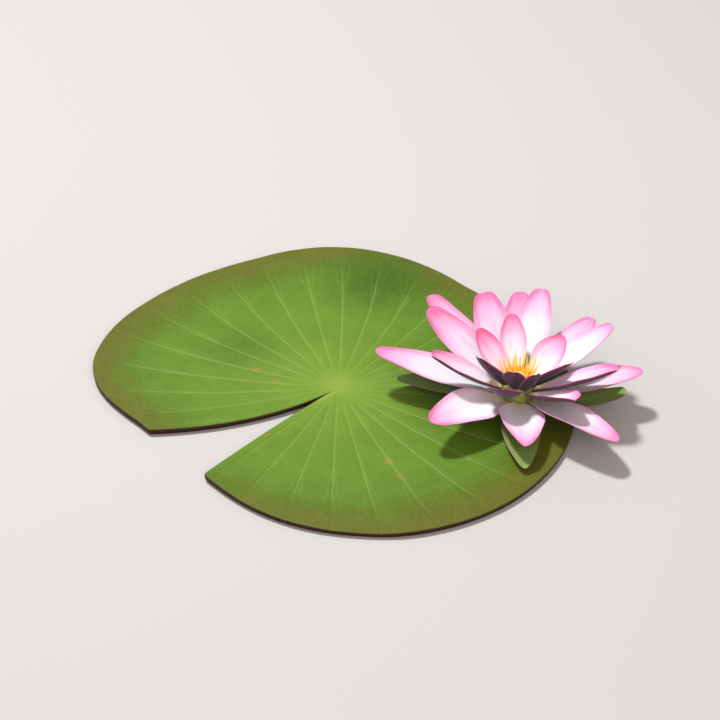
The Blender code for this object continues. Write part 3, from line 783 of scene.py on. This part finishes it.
# Stamens: waxy straps, amber at the foot and pale yellow at the point, with golden pollen on the
# ridges near the top.
def stamen_finish():
    made, tree, shader = start_material("stamen_waxy_strap", ior=1.43)
    own = add(tree, "UVMap", uv_map="along_across")
    share = add(tree, "SeparateXYZ", (own,), out=0)
    v = add(tree, "SeparateXYZ", (own,), out=1)
    v = add(tree, "Math", (v, 2.0, -1.0), operation="MULTIPLY_ADD")
    v = add(tree, "Math", (v,), operation="ABSOLUTE")
    place = add(tree, "TexCoord", out="Object")
    strap = add(tree, "ValToRGB", (share,), [(0.0, "#ffb42a"), (0.2, "#ffca3e"), (0.4, "#ffe24e"),
                                             (0.7, "#fff06c"), (1.0, "#fff7a4")])
    # Pollen grains are far too fine to show, so the dust is drawn in specks of 0.3 mm.
    pollen = add(tree, "TexNoise", {"Vector": place, "Scale": 3300.0, "Detail": 2.0})
    ridges = add(tree, "ValToRGB", (share,), [(0.45, 0.0), (0.6, 1.0), (0.85, 1.0), (0.97, 0.0)])
    sides = add(tree, "MapRange", (v, 0.2, 0.5), interpolation_type="SMOOTHSTEP")
    dust = add(tree, "MapRange", (pollen, 0.4, 0.65, 0.0, 0.5), interpolation_type="SMOOTHSTEP")
    ridges = add(tree, "Math", (ridges, sides), operation="MULTIPLY")
    dust = add(tree, "Math", (ridges, dust), operation="MULTIPLY")
    strap = add(tree, "Mix", {0: dust, 6: strap, 7: "#ffc84c"}, out=2, data_type="RGBA")
    tree.links.new(strap, shader.inputs["Base Color"])
    tree.links.new(add(tree, "MapRange", (pollen, 0.3, 0.7, 0.4, 0.6)), shader.inputs["Roughness"])
    bump = add(tree, "Bump", {"Strength": 0.3, "Distance": 0.0001, "Height": pollen})
    tree.links.new(bump, shader.inputs["Normal"])
    return made


# Stigma disc: waxy yellow tissue, damp and so the glossiest part of the flower, with fine grain.
def stigma_finish():
    made, tree, shader = start_material("stigma_damp_tissue", ior=1.4)
    place = add(tree, "TexCoord", out="Object")
    grain = add(tree, "TexNoise", {"Vector": place, "Scale": 2500.0, "Detail": 3.0})
    base = add(tree, "Mix", {0: grain, 6: "#ffc046", 7: "#ffd86c"}, out=2, data_type="RGBA")
    tree.links.new(base, shader.inputs["Base Color"])
    tree.links.new(add(tree, "MapRange", (grain, 0.3, 0.7, 0.3, 0.45)), shader.inputs["Roughness"])
    bump = add(tree, "Bump", {"Strength": 0.25, "Distance": 0.0001, "Height": grain})
    tree.links.new(bump, shader.inputs["Normal"])
    return made


# ---------------------------------------------------------------- the plant
points, faces, uv, marks = leaf_surface()
add_piece("leaf_blade", points, faces, leaf_finish(), ["lily_pad"], uv, marks)

finishes = {
    "sepal": sepal_finish(),
    # The last two colours of each petal finish are the reverse side's colours with painted shade, darkest
    # for the inner petals' bowl.
    "outer_petal": petal_finish("outer_petal_satin_tissue", 0.02, "#452a3d", "#5a2c52"),
    "middle_petal": petal_finish("middle_petal_satin_tissue", 0.02, "#40293f", "#522b4e"),
    "inner_petal": petal_finish("inner_petal_satin_tissue", 0.1, "#2e2634", "#402b43"),
}
seed = 0
for kind, tips in TIPS.items():
    for number, tip in enumerate(tips, 1):
        seed += 1
        node = f"{kind}_{number}"
        points, faces, uv, marks = petal_surface(tip, {**WHORLS[kind], **tip[3]}, BLADES[kind], seed)
        add_piece(f"{node}_blade", points, faces, finishes[kind], [node], uv, marks)

points, faces = receptacle_surface()
add_piece("flower_base", points, faces, receptacle_finish(), ["receptacle"])
straps = stamen_finish()
for node, ring in STAMENS.items():
    points, faces, uv = stamen_surface(ring, 40 + ring["count"])
    add_piece(f"{node}_straps", points, faces, straps, [node], uv)
points, faces = stigma_surface()
add_piece("stigma_dish", points, faces, stigma_finish(), ["stigma_disc"])


# ---------------------------------------------------------------- floor, light and camera
# In metres: the floor's radius and how far it lies below the leaf, the distance of both lamps from
# the point that they light, and that point's X.
FLOOR_RADIUS = 6
FLOOR_SIDES = 96
FLOOR_DROP = 0.0002
LAMP_DISTANCE = 1.6
LIT_X = 0.03


def build_floor():
    """A plain pale floor: a flat disc round the origin, just below the leaf's underside."""
    a = np.linspace(0, 2 * np.pi, FLOOR_SIDES, endpoint=False)
    rim = np.stack([FLOOR_RADIUS * np.cos(a), FLOOR_RADIUS * np.sin(a), 0 * a], -1)
    points = np.concatenate([[[0, 0, 0]], rim]) - [0, 0, FLOOR_DROP]
    mesh = bpy.data.meshes.new("floor")
    mesh.from_pydata(points.tolist(), [], fan_faces(0, 1 + np.arange(FLOOR_SIDES)).tolist())
    made, _, shader = start_material("floor_matt_paint", roughness=0.85)
    shader.inputs["Base Color"].default_value = colour("#c4c3c0")
    mesh.materials.append(made)
    floor = bpy.data.objects.new("floor", mesh)
    bpy.context.scene.collection.objects.link(floor)


def add_light(name, towards, size, power, tint):
    """A round area light that looks at the plant from a direction: its width in m, power in W."""
    data = bpy.data.lights.new(name, "AREA")
    data.shape = "DISK"
    data.size = size
    data.energy = power
    data.color = colour(tint)[:3]
    light = bpy.data.objects.new(name, data)
    place = np.array(towards, float) / np.linalg.norm(towards) * LAMP_DISTANCE
    light.location = (LIT_X + place[0], place[1], place[2])
    light.rotation_mode = "QUATERNION"
    light.rotation_quaternion = Vector(place).to_track_quat("Z", "Y")
    bpy.context.scene.collection.objects.link(light)


build_floor()
# The small key light from above, left and behind draws the shadows, and the wide warm one softens them.
add_light("key_light", (-0.30, 0.30, 1.0), 0.22, 24.0, "#ffffff")
add_light("front_fill", (0.2, -1.0, 0.7), 1.2, 10.5, "#ffdcd2")
world = bpy.data.worlds.new("soft_surround")
world.use_nodes = True
world.node_tree.nodes["Background"].inputs["Color"].default_value = colour("#f3f4f6")
world.node_tree.nodes["Background"].inputs["Strength"].default_value = 0.43
bpy.context.scene.world = world
bpy.context.scene.view_settings.view_transform = "Standard"

camera_data = bpy.data.cameras.new("camera")
camera_data.angle = math.radians(20)
camera_data.clip_start = 0.01
camera = bpy.data.objects.new("camera", camera_data)
camera.location = (0.00982, -0.73945, 0.53603)
camera.rotation_euler = (math.radians(55), 0, 0)
bpy.context.scene.collection.objects.link(camera)
bpy.context.scene.camera = camera
